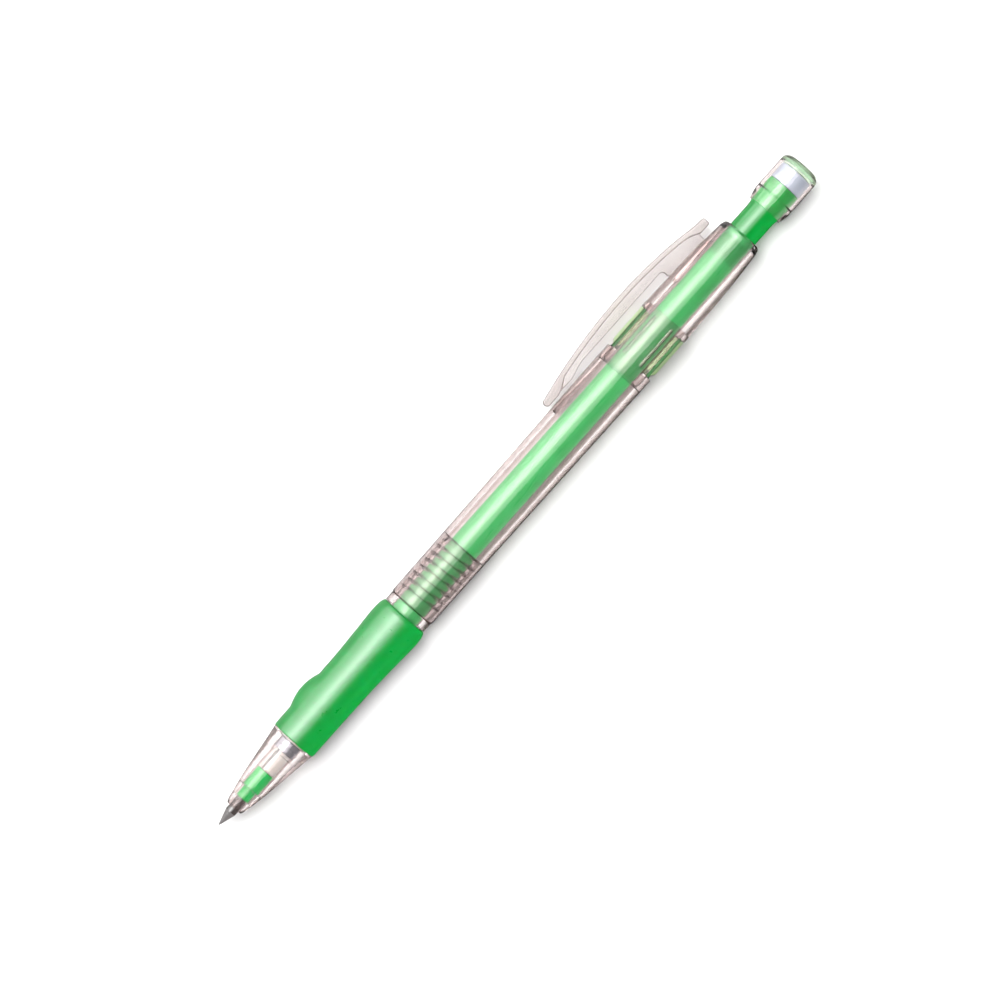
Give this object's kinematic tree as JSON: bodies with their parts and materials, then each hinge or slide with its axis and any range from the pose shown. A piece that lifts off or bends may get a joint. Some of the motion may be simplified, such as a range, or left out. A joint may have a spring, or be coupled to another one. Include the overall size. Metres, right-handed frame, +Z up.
{
  "type": "lead holder",
  "caption": "Push-button lead holder with a clear barrel, sprung clip, rubber grip, lead tube, clutch chuck, capped eraser and sharpened drawing lead.",
  "frame": {"origin": "under the middle of the whole object, on the surface that it lies on", "axes": "+X along the axis from the writing point towards the cap; +Y towards the clip; +Z up, away from the surface"},
  "size_m": [0.1468, 0.0134, 0.0094],
  "materials": {
    "graphite": "ground graphite, slight sheen",
    "clear_plastic": "clear moulded plastic, polished",
    "grip_rubber": "soft satin rubber",
    "green_plastic": "translucent green, glossy",
    "natural_plastic": "natural white, waxy",
    "ring_metal": "turned, satin",
    "spring_steel": "drawn wire",
    "eraser_rubber": "matte white vinyl"
  },
  "bodies": {
    "barrel": {"barrel": "clear_plastic", "clip_sleeve": "clear_plastic", "clutch_sleeve": "natural_plastic", "return_spring": "spring_steel"},
    "front_section": {"front_section": "clear_plastic", "grip": "grip_rubber"},
    "lead_retainer": {"lead_retainer": "green_plastic"},
    "feed": {"chuck_stem": "natural_plastic", "tube_connector": "natural_plastic", "reservoir_tube": "green_plastic"},
    "chuck_jaw_1": {"chuck_jaw_1": "natural_plastic"},
    "chuck_jaw_2": {"chuck_jaw_2": "natural_plastic"},
    "chuck_jaw_3": {"chuck_jaw_3": "natural_plastic"},
    "clutch_ring": {"clutch_ring": "ring_metal"},
    "lead": {"lead": "graphite"},
    "button": {"button": "green_plastic", "eraser": "eraser_rubber"},
    "cap": {"cap": "clear_plastic"},
    "clip_arm": {"clip_arm": "clear_plastic"}
  },
  "joints": [
    {"name": "button_press", "type": "slide", "parent": "barrel", "child": "feed", "axis": [-1, 0, 0], "range_m": [0, 0.002], "stiffness_N_per_m": 900, "springref_m": -0.003, "deforming": ["return_spring"]},
    {"name": "jaw_1_open", "type": "hinge", "parent": "feed", "child": "chuck_jaw_1", "pos_m": [-0.0514, -0.00075, 0.00472], "axis": [0, 0, -1], "range_deg": [0, 1.2]},
    {"name": "jaw_2_open", "type": "hinge", "parent": "feed", "child": "chuck_jaw_2", "pos_m": [-0.0514, -0.00253, 0.00575], "axis": [0, 0.866, 0.5], "range_deg": [0, 1.2]},
    {"name": "jaw_3_open", "type": "hinge", "parent": "feed", "child": "chuck_jaw_3", "pos_m": [-0.0514, -0.00253, 0.00369], "axis": [0, -0.866, 0.5], "range_deg": [0, 1.2]},
    {"name": "clutch_ring_slide", "type": "slide", "parent": "feed", "child": "clutch_ring", "axis": [1, 0, 0], "range_m": [0, 0.00142]},
    {"name": "lead_feed", "type": "slide", "parent": "clutch_ring", "child": "lead", "axis": [-1, 0, 0], "range_m": [-0.0036, 0.01]},
    {"name": "front_section_off", "type": "slide", "parent": "barrel", "child": "front_section", "axis": [-1, 0, 0], "range_m": [0, 0.0135]},
    {"name": "retainer_slide", "type": "slide", "parent": "front_section", "child": "lead_retainer", "axis": [-1, 0, 0], "range_m": [0, 0.002]},
    {"name": "button_pull", "type": "slide", "parent": "feed", "child": "button", "axis": [1, 0, 0], "range_m": [0, 0.008]},
    {"name": "cap_pull", "type": "slide", "parent": "button", "child": "cap", "axis": [1, 0, 0], "range_m": [0, 0.01]},
    {"name": "clip_flex", "type": "hinge", "parent": "barrel", "child": "clip_arm", "pos_m": [0.0438, 0.00632, 0.00472], "axis": [0, 0, -1], "range_deg": [0, 3], "stiffness_Nm_per_rad": 1, "springref_deg": -1.15}
  ],
  "couplings": [
    {"joint": "jaw_1_open", "follows": "button_press", "rad_per_m": 10.47},
    {"joint": "jaw_2_open", "follows": "button_press", "rad_per_m": 10.47},
    {"joint": "jaw_3_open", "follows": "button_press", "rad_per_m": 10.47},
    {"joint": "clutch_ring_slide", "follows": "button_press", "ratio": 0.71},
    {"joint": "retainer_slide", "follows": "button_press", "ratio": 1}
  ]
}
